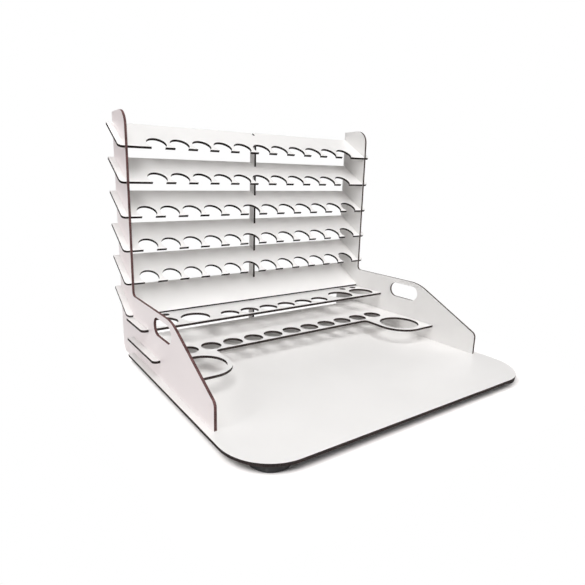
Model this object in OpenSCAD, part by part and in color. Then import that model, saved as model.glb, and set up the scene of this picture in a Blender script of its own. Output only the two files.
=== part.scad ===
// Hobby workstation organizer
// A flat pack of laser cut sheets: a work board at the front and a terraced
// rack of notched shelves at the back, held between two shaped side panels.
// Millimetres. X runs across, Y runs back from the user, Z is up.
// The origin is on the table, under the middle of the footprint.

/* [Sheet stock] */

// Thickness of the laminated fibreboard sheet
sheet_t = 3; // [2:0.5:6]
// Free play of a sheet in the slot that it is pushed into, across both faces
slot_play = 0.2; // [0.05:0.05:0.6]
// Free play at the blind end of a slot
end_play = 0.3; // [0.1:0.1:1]

/* [Work board] */

// Width of the board
board_w = 400; // [330:5:520]
// Depth of the board
board_d = 300; // [240:5:380]
// Radius of the two front corners
board_corner_r = 50; // [10:1:80]

/* [Feet] */

// Diameter of a stick-on rubber foot
foot_d = 40; // [20:1:46]
// Height of a foot
foot_h = 6; // [3:0.5:8]
// How much narrower a foot is at the table than at the board
foot_taper = 1; // [0:0.1:3]
// Radius of the lower edge of a foot
foot_edge_r = 0.8; // [0.2:0.1:1.5]
// Distance from a foot to the nearest edge of the board
foot_edge_gap = 0.2; // [0:0.1:20]
// How far round its corner a front foot sits, in degrees from the front edge
foot_round = 30; // [0:5:45]

/* [Side panels] */

// Distance from the edge of the board to the outer face of a panel
panel_inset = 8; // [4:0.5:20]
// Depth of the column, from front edge to rear edge
column_d = 48; // [44:1:60]
// How far the column stands out behind the board
column_overhang = 45.5; // [30:0.5:46]
// Height of the column above the rear edge of the top tier
column_top = 13.5; // [8:0.5:30]
// Length of the arm, from its toe to the column
arm_l = 223.5; // [190:0.5:230]
// Height of the level top edge of the arm above the board
arm_h = 76.5; // [60:0.5:100]
// Height at which the sloping edge would meet the vertical toe
toe_h = 27; // [10:0.5:40]
// Angle of the sloping edge of the arm
arm_slope = 27; // [20:0.5:35]
// Radius between the level and the sloping edge of the arm
arm_bend_r = 60; // [10:1:80]
// Radius of the toe
toe_r = 8; // [1:0.5:16]
// Radius of the fillet between arm and column
crotch_r = 6; // [1:0.5:15]
// Radius of the front top corner of the column
crown_r = 20; // [5:1:35]
// Radius of the rear bottom corner
heel_r = 8; // [1:0.5:20]
// Gap between the rear edge of the board and the heel of a panel
heel_play = 0.3; // [0.1:0.1:1]
// Height of the heel and of the centre brace above the table
heel_lift = 1; // [0:0.5:3]

/* [Hand hole] */

// Length of the hand hole in each panel
grip_l = 52; // [40:1:70]
// Height of the hand hole
grip_h = 21; // [16:0.5:26]
// Distance from the middle of the hand hole to the column
grip_ahead = 100.5; // [85:0.5:110]
// Width of material between the hand hole and the top edge of the arm
grip_rim = 6.5; // [5:0.5:10]

/* [Panel tabs] */

// Length of a tab that drops into the board
tab_l = 40; // [20:1:55]
// Distance from the toe to the front tab
tab_toe_gap = 36; // [10:1:50]
// Distance from the rear tab to the rear edge of the board
tab_rear_gap = 30; // [10:1:50]

/* [Holes] */

// Diameter of what a small hole or notch holds
small_d = 24.5; // [20:0.1:28]
// Diameter of what a medium hole holds
medium_d = 37; // [30:0.5:40]
// Diameter of what a large hole holds
large_d = 50; // [44:0.5:54]
// Free play in a small hole or notch
small_play = 0.4; // [0.1:0.1:1]
// Free play in a medium hole
medium_play = 0.5; // [0.1:0.1:2]
// Free play in a large hole
large_play = 4; // [0.5:0.5:6]
// Spacing of the small holes, centre to centre
small_pitch = 30.3; // [29:0.1:31]

/* [Tilted tiers] */

// Tilt of the tiers from level
tier_tilt = 32; // [25:0.5:36]
// Depth of a tier along its slope
tier_d = 55.5; // [52:0.5:62]
// Vertical spacing of the tiers
tier_step = 41; // [38:0.5:46]
// Gap between the front edge of the lowest tier and the middle shelf under it
tier_gap = 0.8; // [0.3:0.1:10]
// Distance from the front edge of a tier to the middle of its notches
notch_in = 9; // [6:0.5:11]
// Radius of the front corners of the wings outside the panels
wing_r = 5; // [1:0.5:8]
// Share of the depth of a tier that is slotted over the panel
lap_share = 0.5; // [0.35:0.05:0.65]

/* [Level shelves] */

// Height of the middle of the front shelf above the board
front_z = 20.5; // [14:0.5:30]
// Depth of the front shelf, without its rings
front_d = 94; // [85:1:110]
// Height of the middle of the middle shelf above the board
middle_z = 46.5; // [38:0.5:56]
// Depth of the middle shelf
middle_d = 58.5; // [56:0.5:70]
// Least width of material between a hole and an edge, a hole or a panel
rim = 3; // [2:0.5:5]
// Width of the ring round a large hole
ring_w = 5.8; // [3:0.1:10]
// Distance from the middle of a large hole to the panel beside it
large_side = 33; // [31:0.5:40]
// How far the middle of a large hole lies ahead of the straight front edge
large_ahead = 34; // [30:0.5:44]
// Radius of the fillet between a ring and the straight front edge
ring_fillet_r = 5; // [1:0.5:10]
// Distance from the middle of the outer medium hole to the panel beside it
medium_side = 23; // [22:0.5:28]
// Spacing of the two medium holes at each end
medium_pitch = 43.5; // [40:0.5:45]
// Diameter of a tool hole
tool_d = 10; // [5:0.5:12]
// Distance from the middle of the outer tool hole to the panel beside it
tool_side = 15; // [10:0.5:20]
// Spacing of the two tool holes at each end
tool_pitch = 22; // [15:0.5:25]
// Width of material between the tool holes and the rear edge
tool_rim = 4.5; // [3:0.5:6]

/* [Centre brace] */

// Depth of the brace, from front to rear
brace_d = 12; // [9:0.5:13]
// Depth of the slot in the rear edge of a tier that takes the brace
brace_lap = 7; // [4:0.5:8]

/* [Hidden] */

$fn = 96;
// Overrun of every cut past the face that it leaves through
over = 1;

// Colours of the white laminate and of the black rubber
laminate = [0.93, 0.92, 0.91];
rubber = [0.07, 0.07, 0.07];

// Heights counted from the table
board_z = foot_h;
top_z = foot_h + sheet_t;
// How far the uprights behind the board reach below its upper face
heel_drop = top_z - heel_lift;

tiers = 6;
slot_w = sheet_t + slot_play;
panel_x = board_w / 2 - panel_inset - sheet_t / 2;
inner_x = panel_x - sheet_t / 2;

// Depths, counted from the front of the board. The rack keeps its place at the
// rear edge of the board.
column_rear_y = board_d + column_overhang;
column_y = column_rear_y - column_d;
heel_y = board_d + heel_play;
panel_toe_y = column_y - arm_l;
grip_y = column_y - grip_ahead;
front_y = board_d - front_d;
middle_y = board_d - middle_d;
large_y = front_y - large_ahead;
tab_front_y = panel_toe_y + tab_toe_gap + tab_l / 2;
tab_rear_y = board_d - tab_rear_gap - tab_l / 2;
// Middle of the footprint, which becomes the origin
mid_y = column_rear_y / 2;

small_r = (small_d + small_play) / 2;
medium_r = (medium_d + medium_play) / 2;
large_r = (large_d + large_play) / 2;
tool_r = tool_d / 2;

// The lower rear corner of a tier ends flush with the rear edge of the panels
tier_rear_y = column_rear_y - sin(tier_tilt) * sheet_t / 2;
lap_d = tier_d * lap_share;

// Places across the width, counted from the middle
large_x = inner_x - large_side;
medium_x = inner_x - medium_side - medium_pitch;
tool_x = inner_x - tool_side - tool_pitch;

// Holes at the set spacing, as many as fit on both sides of the middle
function even_row(half_w) = 2 * floor((half_w - small_r) / small_pitch + 1 / 2);
function odd_row(half_w) = 2 * floor((half_w - small_r) / small_pitch) + 1;
top_notches = odd_row(inner_x - rim);
low_notches = even_row(inner_x - rim);
front_holes = odd_row(inner_x - rim);
middle_holes = even_row(medium_x - medium_r - rim);

// Heights above the board
tier_low_z = middle_z + sheet_t / 2 + tier_gap
    + tier_d * sin(tier_tilt) + cos(tier_tilt) * sheet_t / 2;
column_h = tier_low_z + (tiers - 1) * tier_step + column_top;
grip_z = arm_h - grip_rim - grip_h / 2;

// The brace stands half way between the columns of the two hole spacings, so
// that it stays clear of what stands in the notches of every row
brace_x = small_pitch / 4;
brace_y = column_rear_y - brace_d;

// Where the sloping edge reaches the height of the level edge
bend_y = panel_toe_y + (arm_h - toe_h) / tan(arm_slope);

// Height above the board of the rear edge of tier i, counted from the top
function tier_z(i) = tier_low_z + (tiers - i) * tier_step;

module at_origin() translate([0, -mid_y, 0]) children();

// An outline with true round corners. The corners are [x, y, radius], counted
// anticlockwise. A corner that turns outward is cut back to its arc, and one
// that turns inward is filled up to it.
function unit(v) = v / norm(v);
function spot(c) = [c.x, c.y];
function turn(a, v, b) = let(u = unit(spot(a) - spot(v)), w = unit(spot(b) - spot(v)),
    half = acos(u * w) / 2, run = v.z / tan(half))
    [spot(v) + run * u, spot(v) + run * w, spot(v) + v.z / sin(half) * unit(u + w),
     cross(w, u) > 0];

module outline(corners) {
    n = len(corners);
    turns = [for (k = [0 : n - 1]) turn(corners[(k + n - 1) % n], corners[k], corners[(k + 1) % n])];
    difference() {
        polygon([for (k = [0 : n - 1]) each corners[k].z > 0 && !turns[k][3]
            ? [turns[k][0], turns[k][1]] : [spot(corners[k])]]);
        for (k = [0 : n - 1]) if (corners[k].z > 0) {
            c = turns[k][2];
            far = 1 + over / corners[k].z;
            if (turns[k][3]) difference() {
                polygon([c, for (p = [turns[k][0], spot(corners[k]), turns[k][1]]) c + far * (p - c)]);
                translate(c) circle(corners[k].z);
            }
            else translate(c) circle(corners[k].z);
        }
    }
}

// Slab from a flat outline
module sheet() linear_extrude(height = sheet_t, center = true) children();

// A flat outline in (depth, height), stood up as an upright sheet at x
module upright(x) translate([x, 0, 0]) rotate([90, 0, 90]) sheet() children();

// A flat outline in (width, depth along the slope), laid on tier i
module on_slope(i) translate([0, tier_rear_y, top_z + tier_z(i)])
    rotate([tier_tilt, 0, 0]) translate([0, -tier_d, 0]) sheet() children();

// The middle line of tier i in the outline of an upright sheet, with the
// origin at the rear edge of the tier and X along the slope
module slope_line(i) translate([tier_rear_y, tier_z(i)]) rotate(tier_tilt) children();

// Places evenly spaced about the middle
module row(count, pitch) for (k = [0 : count - 1])
    translate([(k - (count - 1) / 2) * pitch, 0]) children();

// Both ends of a symmetric sheet
module both_ends() {
    children();
    mirror([1, 0]) children();
}

// Board, shelf or tier with rounded front corners and square rear ones
module blank(w, d, r) outline([[-w / 2, 0, r], [w / 2, 0, r], [w / 2, d, 0], [-w / 2, d, 0]]);

// Side panel, in (depth, height above the board): a column that reaches down
// behind the board, and an arm that slopes down to a short vertical toe
function tab_corners(y) = [[y - tab_l / 2, 0, 0], [y - tab_l / 2, -sheet_t, 0],
                           [y + tab_l / 2, -sheet_t, 0], [y + tab_l / 2, 0, 0]];

module panel_blank() outline(concat(
    [[heel_y, -heel_drop, 0],
     [column_rear_y, -heel_drop, heel_r],
     [column_rear_y, column_h, 0],
     [column_y, column_h, crown_r],
     [column_y, arm_h, crotch_r],
     [bend_y, arm_h, arm_bend_r],
     [panel_toe_y, toe_h, toe_r],
     [panel_toe_y, 0, 0]],
    tab_corners(tab_front_y), tab_corners(tab_rear_y),
    [[heel_y, 0, 0]]));

module grip_outline() translate([grip_y, grip_z]) {
    square([grip_l - grip_h, grip_h], center = true);
    both_ends() translate([(grip_l - grip_h) / 2, 0]) circle(grip_h / 2);
}

// Closed slot for a level shelf that runs back to the rear edge of the board
module shelf_slot(y, z) translate([y - end_play, z - slot_w / 2])
    square([board_d - y + 2 * end_play, slot_w]);

module panel_outline() difference() {
    panel_blank();
    grip_outline();
    shelf_slot(front_y, front_z);
    shelf_slot(middle_y, middle_z);
    for (i = [1 : tiers]) slope_line(i)
        translate([lap_d - tier_d - end_play, -slot_w / 2]) square([tier_d, slot_w]);
}

module side_panel(side) color(laminate) at_origin()
    translate([0, 0, top_z]) upright(side * panel_x) panel_outline();

module left_side_panel() side_panel(-1);
module right_side_panel() side_panel(1);

// Centre brace, in (depth, height above the board)
module brace_outline() difference() {
    translate([brace_y, -heel_drop]) square([brace_d, tier_z(1) + heel_drop]);
    for (i = [1 : tiers]) slope_line(i) translate([-tier_d, -slot_w / 2])
        square([tier_d - brace_lap, slot_w]);
    slope_line(1) translate([-tier_d, sheet_t / 2]) square([2 * tier_d, tier_d]);
}

module centre_brace() color(laminate) at_origin()
    translate([0, 0, top_z]) upright(brace_x) brace_outline();

// Tilted tier, in (width, depth along the slope)
module tier_outline(notches) difference() {
    blank(board_w, tier_d, wing_r);
    both_ends() translate([panel_x - slot_w / 2, -over])
        square([slot_w, lap_d + end_play + over]);
    translate([brace_x - slot_w / 2, tier_d - brace_lap - end_play])
        square([slot_w, brace_lap + end_play + over]);
    if (notches > 0) translate([0, notch_in]) row(notches, small_pitch) circle(small_r);
}

module tier(i) color(laminate) at_origin() on_slope(i)
    tier_outline(i == tiers ? 0 : i <= 2 ? top_notches : low_notches);

module tier_1() tier(1);
module tier_2() tier(2);
module tier_3() tier(3);
module tier_4() tier(4);
module tier_5() tier(5);
module tier_6() tier(6);

// Level shelves, in (width, depth)
module middle_outline() difference() {
    translate([0, middle_y]) blank(board_w, middle_d, wing_r);
    translate([0, middle_y + rim + small_r]) row(middle_holes, small_pitch) circle(small_r);
    both_ends() for (k = [0, 1]) {
        translate([medium_x + k * medium_pitch, middle_y + rim + medium_r]) circle(medium_r);
        translate([tool_x + k * tool_pitch, board_d - tool_rim - tool_r]) circle(tool_r);
    }
}

// The front shelf reaches forward at both ends, in a ring round a large hole
// that fills the space out to the panel
module front_outline() {
    ring_r = large_r + ring_w;
    ring_in_x = large_x - ring_r;
    ring_out_x = inner_x - end_play;
    ring_y = large_y - ring_r;
    right = [[ring_in_x, front_y, ring_fillet_r], [ring_in_x, ring_y, ring_r],
             [ring_out_x, ring_y, 0], [ring_out_x, front_y, 0],
             [board_w / 2, front_y, wing_r], [board_w / 2, board_d, 0]];
    left = [for (k = [len(right) - 1 : -1 : 0]) [-right[k].x, right[k].y, right[k].z]];
    difference() {
        outline(concat(right, left));
        translate([0, front_y + rim + small_r]) row(front_holes, small_pitch) circle(small_r);
        both_ends() translate([large_x, large_y]) circle(large_r);
    }
}

module middle_shelf() color(laminate) at_origin()
    translate([0, 0, top_z + middle_z]) sheet() middle_outline();

module front_shelf() color(laminate) at_origin()
    translate([0, 0, top_z + front_z]) sheet() front_outline();

// Work board
module base_board() color(laminate) at_origin()
    translate([0, 0, board_z + sheet_t / 2]) sheet() difference() {
        blank(board_w, board_d, board_corner_r);
        both_ends() for (y = [tab_front_y, tab_rear_y])
            translate([panel_x - slot_w / 2, y - tab_l / 2 - end_play])
                square([slot_w, tab_l + 2 * end_play]);
    }

// Feet: the front pair follows the round corners, the rear pair the square ones
module foot(x, y) color(rubber) at_origin() translate([x, y, 0]) rotate_extrude()
    outline([[0, 0, 0], [(foot_d - foot_taper) / 2, 0, foot_edge_r],
             [foot_d / 2, foot_h, 0], [0, foot_h, 0]]);

foot_inset = foot_edge_gap + foot_d / 2;
corner_reach = max(0, board_corner_r - foot_inset);
front_foot_x = board_w / 2 - max(foot_inset, board_corner_r - corner_reach * sin(foot_round));
front_foot_y = max(foot_inset, board_corner_r - corner_reach * cos(foot_round));
rear_foot_x = board_w / 2 - panel_inset - sheet_t - foot_inset;

module foot_front_left() foot(-front_foot_x, front_foot_y);
module foot_front_right() foot(front_foot_x, front_foot_y);
module foot_rear_left() foot(-rear_foot_x, board_d - foot_inset);
module foot_rear_right() foot(rear_foot_x, board_d - foot_inset);

base_board();
left_side_panel();
right_side_panel();
centre_brace();
tier_1();
tier_2();
tier_3();
tier_4();
tier_5();
tier_6();
middle_shelf();
front_shelf();
foot_front_left();
foot_front_right();
foot_rear_left();
foot_rear_right();
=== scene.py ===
# %% [markdown]
# # A hobby workstation organizer
#
# The real thing is a flat pack: sheets of 3 mm fibreboard with a white
# laminate on both sides, cut by laser and pushed together. A work board lies
# in front, and a terraced rack of notched shelves stands at its back. The
# pieces come finished from the construction model, so this lesson gives them
# their surfaces, sets them on a floor and lights them.

import math

import bpy
from mathutils import Matrix, Vector


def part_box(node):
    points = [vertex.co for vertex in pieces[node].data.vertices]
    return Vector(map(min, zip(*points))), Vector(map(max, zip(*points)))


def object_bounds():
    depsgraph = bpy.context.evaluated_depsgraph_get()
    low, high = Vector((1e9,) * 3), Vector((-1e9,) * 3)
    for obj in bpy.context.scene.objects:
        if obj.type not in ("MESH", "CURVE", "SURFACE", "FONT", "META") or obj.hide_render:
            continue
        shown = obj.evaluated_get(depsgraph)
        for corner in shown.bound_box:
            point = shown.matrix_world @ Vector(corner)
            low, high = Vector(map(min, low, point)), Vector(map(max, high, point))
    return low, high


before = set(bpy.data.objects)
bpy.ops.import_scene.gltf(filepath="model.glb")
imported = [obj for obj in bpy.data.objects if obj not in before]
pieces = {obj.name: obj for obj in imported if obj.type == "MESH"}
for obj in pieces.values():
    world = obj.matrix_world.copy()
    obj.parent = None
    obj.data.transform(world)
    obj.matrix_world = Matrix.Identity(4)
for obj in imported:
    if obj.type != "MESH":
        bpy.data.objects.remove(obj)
cad_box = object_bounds()
print(len(pieces), "pieces, overall size in mm:",
      [round(1000 * side, 1) for side in cad_box[1] - cad_box[0]])

# %% [markdown]
# ## The camera
#
# The picture was taken from the left, at three quarters of the height of the
# rack, with a fairly wide lens. A camera can be aimed at a point, but this one
# was measured from the picture: its heading, dip and roll are turns about three
# axes, so it gets them as three simple rotations, one after the other. The
# picture was cropped after it was taken, which moves its optical centre away
# from the middle of the frame: that is what the camera's shift is for.

# %% Place the camera
PICTURE = 585                       # width and height of the picture, in pixels
focal_px = 468.70                   # focal length, counted in pixels
centre_px = (264.50, 289.17)        # optical centre in the picture
heading, dip, roll = (math.radians(angle) for angle in (32.97, 13.19, 1.0))
eye = (-0.36231, -0.44027, 0.2297)  # where the lens stands, in metres
SENSOR = 36                         # width of the camera's sensor, in mm

lens = bpy.data.cameras.new("camera")
lens.sensor_width = SENSOR
lens.lens = focal_px / PICTURE * SENSOR
lens.shift_x = 0.5 - centre_px[0] / PICTURE
lens.shift_y = centre_px[1] / PICTURE - 0.5
camera = bpy.data.objects.new("camera", lens)
bpy.context.scene.collection.objects.link(camera)
bpy.context.scene.camera = camera
camera.matrix_world = (
    Matrix.Translation(eye)
    @ Matrix.Rotation(-heading, 4, "Z")
    @ Matrix.Rotation(math.pi / 2 - dip, 4, "X")
    @ Matrix.Rotation(roll, 4, "Z")
)
print("lens", round(lens.lens, 2), "mm, shift", round(lens.shift_x, 4), round(lens.shift_y, 4))

# %% [markdown]
# ## Writing shader maths as sums
#
# A finish is a small network of nodes. Wiring each Math node by hand hides what
# the network works out, so a number that changes over a surface is wrapped in
# a class here, and plus, minus, times and divide add the Math node themselves.

# %% A number that changes over the surface
class Number:
    """The output of a node that gives one number at each point of a surface."""

    def __init__(self, finish, socket):
        self.finish, self.socket = finish, socket

    def maths(self, operation, *values):
        node = self.finish.node("ShaderNodeMath", {"operation": operation}, *values)
        return Number(self.finish, node.outputs[0])

    def __add__(self, other):
        return self.maths("ADD", self, other)

    def __sub__(self, other):
        return self.maths("SUBTRACT", self, other)

    def __mul__(self, other):
        return self.maths("MULTIPLY", self, other)

    def __truediv__(self, other):
        return self.maths("DIVIDE", self, other)

    def __gt__(self, other):
        return self.maths("GREATER_THAN", self, other)

    # The reflected forms, for a sum that starts with a plain number
    __radd__, __rmul__ = __add__, __mul__

    def __rsub__(self, other):
        return self.maths("SUBTRACT", other, self)

    def __rtruediv__(self, other):
        return self.maths("DIVIDE", other, self)

    def __lt__(self, other):
        return self.maths("LESS_THAN", self, other)

    def __abs__(self):
        return self.maths("ABSOLUTE", self)

    def beyond(self, limit):
        """How far this lies above a limit, and 0 below it."""
        return self.maths("MAXIMUM", self - limit, 0.0)

    def root(self):
        return self.maths("SQRT", self)

    def ramp(self, low, high):
        """0 below low, 1 above high and straight in between."""
        node = self.finish.node("ShaderNodeMapRange", {"clamp": True},
                                Value=self, From_Min=low, From_Max=high)
        return Number(self.finish, node.outputs[0])


# %% [markdown]
# ## One way to add a node
#
# Colours and shaders need other nodes than Math. They all come from one method,
# which sets the node's own settings first and then its inputs: a plain value is
# set on the socket, and another node's output is linked to it. The methods after
# it give the few nodes that this lesson uses a plain name.

# %% A finish and its nodes
class Finish:
    """The nodes of a material, or of the world."""

    def __init__(self, owner):
        self.owner = owner
        owner.use_nodes = True
        self.tree = owner.node_tree
        self.tree.nodes.clear()
        where = self.node("ShaderNodeTexCoord")
        self.place, self.facing = where.outputs["Object"], where.outputs["Normal"]

    def feed(self, socket, value):
        """Link a socket to another node's output, or set it to a plain value."""
        value = getattr(value, "socket", value)
        if isinstance(value, bpy.types.NodeSocket):
            self.tree.links.new(value, socket)
        else:
            socket.default_value = value

    def node(self, kind, settings=None, *values, **named):
        """Add a node. Its sockets are given in order, or by name with underscores."""
        node = self.tree.nodes.new(kind)
        for key, value in (settings or {}).items():
            setattr(node, key, value)
        for number, value in enumerate(values):
            self.feed(node.inputs[number], value)
        for name, value in named.items():
            self.feed(node.inputs[name.replace("_", " ")], value)
        return node

    def along(self, vector, direction):
        """How far a vector reaches in a direction."""
        node = self.node("ShaderNodeVectorMath", {"operation": "DOT_PRODUCT"}, vector, direction)
        return Number(self, node.outputs["Value"])

    def grain(self, cells, detail=2.0, at=None):
        """Smooth noise about one half, with so many cells to the metre."""
        node = self.node("ShaderNodeTexNoise", None,
                         Vector=at or self.place, Scale=cells, Detail=detail)
        return Number(self, node.outputs[0])

    def mix(self, amount, a, b):
        """Colour a where amount is 0 and colour b where it is 1."""
        node = self.node("ShaderNodeMix", {"data_type": "RGBA"}, amount)
        inputs = [socket for socket in node.inputs if socket.type == "RGBA"]
        for socket, colour in zip(inputs, (a, b)):
            self.feed(socket, (*colour, 1) if isinstance(colour, tuple) else colour)
        return [socket for socket in node.outputs if socket.type == "RGBA"][0]

    def bump(self, height, depth, strength):
        """Relief: height 0 to 1 stands for 0 to depth metres."""
        return self.node("ShaderNodeBump", None,
                         Strength=strength, Distance=depth, Height=height).outputs["Normal"]

    def shader(self, **named):
        return self.node("ShaderNodeBsdfPrincipled", None, **named).outputs[0]

    def blend(self, amount, a, b):
        """Shader a where amount is 0 and shader b where it is 1."""
        return self.node("ShaderNodeMixShader", None, amount, a, b).outputs[0]

    def close(self, shader):
        """Put a shader on the surface, and give back the finished material."""
        self.node("ShaderNodeOutputMaterial", None, shader)
        return self.owner


# %% [markdown]
# ## The white foil
#
# Two surfaces meet on every sheet. The broad faces are a white melamine foil,
# almost smooth and satin, with the faint orange peel of its press plate. A plain
# colour would look like paper, so the white drifts a little over the sheet, and
# the peel bends the reflections. Noise keeps near one half, so a ramp stretches
# its middle part before it picks between two colours.

# %% White melamine
WHITE = (0.900, 0.885, 0.872)       # linear red, green and blue, as all colours here
WHITE_DEEP = (0.875, 0.860, 0.848)
PEEL_CELLS = 900                    # orange peel, cells to the metre
PEEL_HEIGHT = 0.00001               # in metres
CLOUD_CELLS = 14                    # slow drift of the white, cells to the metre


def melamine(finish):
    """The satin white foil of the broad faces."""
    peel = finish.grain(PEEL_CELLS, 3)
    cloudy = finish.grain(CLOUD_CELLS, 3)
    return finish.shader(
        Base_Color=finish.mix(cloudy.ramp(0.35, 0.75), WHITE, WHITE_DEEP),
        Roughness=0.30 + peel * 0.14,
        Normal=finish.bump(peel, PEEL_HEIGHT, 0.5),
    )


print("foil drifts from", WHITE, "to", WHITE_DEEP)

# %% [markdown]
# ## The burnt edge
#
# The edges are brown fibreboard, burnt by the beam: dark, dull and finely
# striped across the thickness, because the beam pulses as it travels. A Wave
# texture makes stripes too, but evenly spaced ones. Noise gives uneven stripes
# when the place that it is read at is squashed in the direction in which the
# broad faces look. Blotches and single fibres break the stripes up, and at both
# rims the cut foil shows as a paler line.
#
# How dark a cut comes out depends on how slowly the beam went, so the sheets
# differ: brown on the near panel, darker on the other one, dark grey on the
# board and the level shelves, and almost black on the tiers.

# %% Char
SHEET = 0.003                       # thickness of a sheet, in metres
FOIL = 0.00016                      # thickness of the foil on each face, in metres
FOIL_BLUR = 0.03                    # softness of the foil's inner rim; half a sheet is 1
FOIL_SINGED = (0.14, 0.09, 0.07)
FOIL_SHOWS = 0.6                    # how much of the singed foil is seen in the line
STRIPE_CELLS = 1500                 # cells to the metre, for the blotches and fibres too
BLOTCH_CELLS = 90
FIBRE_CELLS = 4200
CHAR_HEIGHT = 0.00012               # in metres


def char(finish, across, middle, cut):
    """Burnt edge of a sheet whose broad faces look along across, at middle metres
    from the origin. It runs between the two colours of cut."""
    # Each axis shrinks by as much as the broad faces look along it
    squash = tuple(1 - abs(part) for part in across)
    squashed = finish.node("ShaderNodeVectorMath", {"operation": "MULTIPLY"},
                           finish.place, squash).outputs[0]
    stripes = finish.grain(STRIPE_CELLS, at=squashed)
    blotches = finish.grain(BLOTCH_CELLS, 3)
    fibre = finish.grain(FIBRE_CELLS)
    uneven = stripes * 0.45 + blotches * 0.35 + fibre * 0.2
    brown = finish.mix(uneven.ramp(0.38, 0.66), *cut)

    depth = abs(finish.along(finish.place, across) - middle) / (SHEET / 2)
    rim = 1 - 2 * FOIL / SHEET
    foil = depth.ramp(rim - FOIL_BLUR, rim + FOIL_BLUR)
    return finish.shader(
        Base_Color=finish.mix(foil * FOIL_SHOWS, brown, FOIL_SINGED),
        Roughness=0.95 - stripes * 0.15,
        Specular_IOR_Level=0.15,
        Normal=finish.bump(stripes * 0.6 + fibre * 0.4, CHAR_HEIGHT, 0.6),
    )


# Darkest and palest colour of each kind of cut
BLACK_CUT = ((0.009, 0.007, 0.007), (0.040, 0.031, 0.030))
GREY_CUT = ((0.018, 0.014, 0.014), (0.070, 0.056, 0.054))
BROWN_CUT = ((0.056, 0.029, 0.029), (0.210, 0.112, 0.110))
DARK_BROWN_CUT = ((0.026, 0.018, 0.017), (0.105, 0.075, 0.070))
CUTS = {
    "base_board": GREY_CUT,
    "middle_shelf": GREY_CUT,
    "front_shelf": GREY_CUT,
    "left_side_panel": BROWN_CUT,
    "right_side_panel": DARK_BROWN_CUT,
}
print("sheets not cut black:", sorted(CUTS))

# %% [markdown]
# ## Dressing the sheets
#
# A mask picks between foil and char by the direction in which the surface
# faces. The two could also be given face by face as two materials, but the mask
# finds every notch and slot by itself: one finish serves a whole sheet,
# whichever way it was cut. Each sheet only has to say which way its broad faces
# look, and how far its middle lies from the origin that way.

# %% Foil and char on every sheet
UP = (0.0, 0.0, 1.0)
SIDEWAYS = (1.0, 0.0, 0.0)
TILT = math.radians(32)             # slope of the tiers
SLOPE = (0.0, -math.sin(TILT), math.cos(TILT))
BROAD = 0.7                         # a broad face looks at least this much along across


def laminate(name, across, cut):
    """Finish of one sheet, whose broad faces look along across."""
    low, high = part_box(name)
    middle = ((low + high) / 2).dot(Vector(across))
    finish = Finish(bpy.data.materials.new("laminate_" + name))
    broad = abs(finish.along(finish.facing, across)) > BROAD
    burnt = char(finish, across, middle, cut)
    return finish.close(finish.blend(broad, burnt, melamine(finish)))


def faces_of(name):
    """The direction in which a sheet's broad faces look."""
    if name.startswith("tier"):
        return SLOPE
    return SIDEWAYS if name.endswith("panel") or name == "centre_brace" else UP


def dress(piece, finish):
    """Give a piece one finish all over."""
    piece.data.materials.clear()
    piece.data.materials.append(finish)


for name, piece in pieces.items():
    if not name.startswith("foot"):
        across = faces_of(name)
        dress(piece, laminate(name, across, CUTS.get(name, BLACK_CUT)))
        print(name, "faces", [round(part, 3) for part in across])

# %% [markdown]
# ## Rubber feet
#
# Stick-on feet are moulded in black rubber, dull, with a skin that has picked
# up a little dust. Rubber looks right when it is dark grey and not black, very
# rough, and broken up by a fine bump.

# %% The rubber
RUBBER = (0.022, 0.022, 0.023)
RUBBER_DUSTY = (0.075, 0.074, 0.072)
SKIN_CELLS = 1400                   # cells to the metre, for the dust too
DUST_CELLS = 160
SKIN_HEIGHT = 0.0001                # in metres


def rubber():
    """The dull, dusty black of the feet."""
    finish = Finish(bpy.data.materials.new("rubber_foot"))
    skin = finish.grain(SKIN_CELLS, 4)
    dust = finish.grain(DUST_CELLS, 4)
    return finish.close(finish.shader(
        Base_Color=finish.mix(dust.ramp(0.45, 0.8), RUBBER, RUBBER_DUSTY),
        Roughness=0.72 + skin * 0.2,
        Normal=finish.bump(skin, SKIN_HEIGHT, 0.5),
    ))


black_rubber = rubber()
feet = [piece for name, piece in pieces.items() if name.startswith("foot")]
for foot in feet:
    dress(foot, black_rubber)
print("feet:", len(feet))

# %% [markdown]
# ## A white floor that still takes a shadow
#
# The picture has a plain white ground with only a dark line of shadow round the
# board. The floor is painted nearly white for the camera, so lamps of its own
# take it to white, and where the board keeps their light off it goes dark by
# itself. Further out it turns to a glow of strength 1, the same as the backdrop,
# so no horizon shows. Light that bounces off the floor meets a greyer paint, or
# it would creep under the board and wash the shadow out.

# %% Floor
SEEN_GREY, BOUNCED_GREY = 0.97, 0.25
GLOW_FROM, GLOW_FULL = 0.008, 0.07  # metres outside the object
REACH = 6.0                         # metres from the middle of the floor to each side


def seen_directly(finish):
    """1 for rays from the camera, or from a mirror or a glass, and 0 for others."""
    rays = finish.node("ShaderNodeLightPath")
    camera, glossy, glass = (
        Number(finish, rays.outputs[kind])
        for kind in ("Is Camera Ray", "Is Glossy Ray", "Is Transmission Ray"))
    return (camera + glossy + glass) > 0.5


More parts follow.
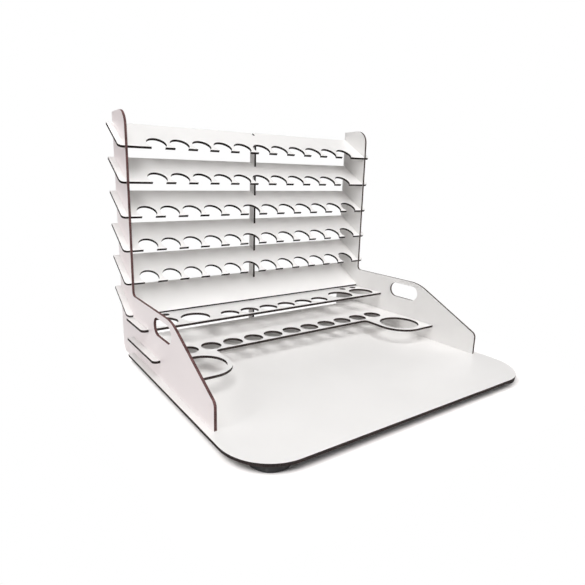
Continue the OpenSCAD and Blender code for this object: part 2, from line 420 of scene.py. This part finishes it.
def white_ground(half_width, half_depth):
    """White paint that turns to a white glow outside a rectangle about the middle."""
    finish = Finish(bpy.data.materials.new("white_ground"))
    seen = seen_directly(finish)
    shown, bounced = (
        finish.node("ShaderNodeBsdfDiffuse", None, Color=(grey, grey, grey, 1)).outputs[0]
        for grey in (SEEN_GREY, BOUNCED_GREY))
    paint = finish.blend(seen, bounced, shown)
    glow = finish.node("ShaderNodeEmission", None, Color=(1, 1, 1, 1), Strength=1.0).outputs[0]
    past_x = abs(finish.along(finish.place, (1, 0, 0))).beyond(half_width)
    past_y = abs(finish.along(finish.place, (0, 1, 0))).beyond(half_depth)
    away = (past_x * past_x + past_y * past_y).root()
    return finish.close(finish.blend(seen * away.ramp(GLOW_FROM, GLOW_FULL), paint, glow))


floor_mesh = bpy.data.meshes.new("floor")
corners = [(-REACH, -REACH, 0), (REACH, -REACH, 0), (REACH, REACH, 0), (-REACH, REACH, 0)]
floor_mesh.from_pydata(corners, [], [(0, 1, 2, 3)])
floor_mesh.materials.append(white_ground(cad_box[1].x, cad_box[1].y))
floor = bpy.data.objects.new("floor", floor_mesh)
bpy.context.scene.collection.objects.link(floor)
print("floor", 2 * REACH, "m wide")

# %% [markdown]
# ## The room
#
# A studio is brightest overhead and dim near the ground. The world does the
# same: its strength climbs from the horizon to the zenith. The low part matters
# here, because light that comes in level would fill the gap under the board,
# which the picture shows nearly black. The camera itself sees plain white.

# %% Surroundings
ZENITH = 0.30                       # strength of the sky overhead


def studio_sky():
    """A world that is dark at the horizon, brightest overhead and white to the camera."""
    sky = Finish(bpy.data.worlds.new("studio"))
    direction = sky.node("ShaderNodeTexCoord").outputs["Generated"]
    up = sky.along(direction, UP).beyond(0)
    paler = sky.mix(up * up, (0, 0, 0), (1, 1, 1))
    room, backdrop = (
        sky.node("ShaderNodeBackground", None, Color=colour, Strength=strength).outputs[0]
        for colour, strength in ((paler, ZENITH), ((1, 1, 1, 1), 1.0)))
    shown = sky.node("ShaderNodeLightPath").outputs["Is Camera Ray"]
    sky.node("ShaderNodeOutputWorld", None, sky.blend(shown, room, backdrop))
    return sky.owner


bpy.context.scene.world = studio_sky()
print("sky strength: 0 at the horizon,", ZENITH, "overhead")

# %% [markdown]
# ## Lamps
#
# Product pictures like this one are lit from large white panels. The main one
# hangs high in front: it lights the board, and it reaches the front of every
# tier but not the back, which the tier above shades. Weaker ones stand round
# the object and reach in from the sides.
#
# A lamp can be told which things it lights. All of these leave the floor out,
# or they would shine under the board and grey its shadow. The floor has two wide
# lamps of its own, so that it reaches white without any more light on the
# object: one from the left and behind, one from the right. Each lights the floor
# under the edge that faces it, which leaves a thin soft shadow all round. One
# pale pink lamp is for the near panel alone, whose outer face is pinkish in the
# picture while everything else is not.
#
# The Standard view then shows the colours as the lamps make them, without the
# softer contrast of a film.

# %% Softboxes
MIDDLE = Vector((0, 0, 0.1))        # what every lamp points at, in metres
LEFT = (-3.1, -0.3, 1.3)            # where two of the lamps stand
FLOOR_TINT = (1.0, 0.97, 0.96)
PINK = (1.0, 0.72, 0.79)


def only_for(name, thing, state):
    """A list for a lamp that includes or excludes one thing."""
    chosen = bpy.data.collections.new(name)
    chosen.objects.link(thing)
    chosen.collection_objects[0].light_linking.link_state = state
    return chosen


def softbox(name, at, size, power, lights, tint=(1, 1, 1)):
    """A square lamp, size metres wide and of power watts, that lights what a list says."""
    lamp = bpy.data.lights.new(name, "AREA")
    lamp.shape, lamp.size, lamp.energy, lamp.color = "SQUARE", size, power, tint
    box = bpy.data.objects.new(name, lamp)
    box.location = at
    box.rotation_euler = (MIDDLE - Vector(at)).to_track_quat("-Z", "Y").to_euler()
    box.light_linking.receiver_collection = lights
    bpy.context.scene.collection.objects.link(box)
    print(name, power, "W")


floor_only = only_for("floor_only", floor, "INCLUDE")
not_the_floor = only_for("not_the_floor", floor, "EXCLUDE")
near_panel_only = only_for("near_panel_only", pieces["left_side_panel"], "INCLUDE")
softbox("overhead", (-0.4, -1.2, 2.8), 2.6, 76, not_the_floor)
softbox("floor_left", (-2.0, 1.1, 2.7), 3.6, 190, floor_only, FLOOR_TINT)
softbox("floor_right", (2.0, -0.4, 2.7), 3.6, 115, floor_only, FLOOR_TINT)
softbox("front", (-0.2, -3.0, 1.2), 1.6, 26, not_the_floor)
softbox("left", LEFT, 1.4, 30, not_the_floor)
softbox("blush", LEFT, 1.4, 25, near_panel_only, PINK)
softbox("right", (3.2, 0.1, 0.7), 1.4, 32, not_the_floor)
softbox("back", (0.3, 3.2, 0.8), 1.4, 14, not_the_floor)

bpy.context.scene.view_settings.view_transform = "Standard"
